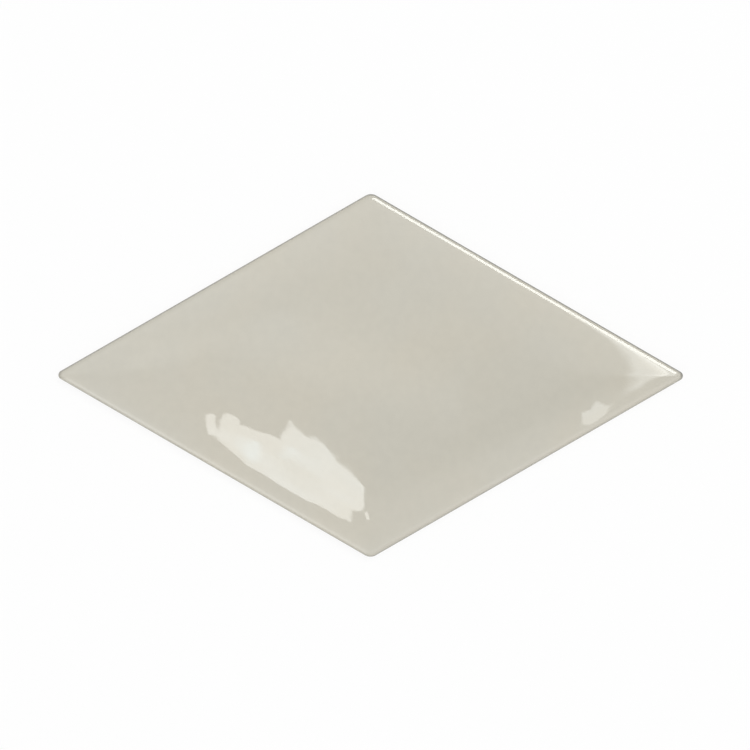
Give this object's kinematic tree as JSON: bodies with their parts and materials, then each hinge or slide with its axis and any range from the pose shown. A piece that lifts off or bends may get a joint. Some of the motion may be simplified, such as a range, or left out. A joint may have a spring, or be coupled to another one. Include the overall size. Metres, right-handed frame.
{
  "type": "diamond wall tile",
  "caption": "Glazed ceramic wall tile shaped as a sixty degree diamond, with a soft cushioned glossy face, rounded edges and a keyed back for adhesive.",
  "frame": {"origin": "middle of the back, where the tile beds on the wall or lies on a floor", "axes": "+X along the long diagonal, +Y along the short diagonal, +Z out of the glazed face"},
  "size_m": [0.2628, 0.1526, 0.009],
  "materials": {
    "glaze": "gloss"
  },
  "bodies": {
    "root": {"tile": "glaze"}
  },
  "joints": []
}
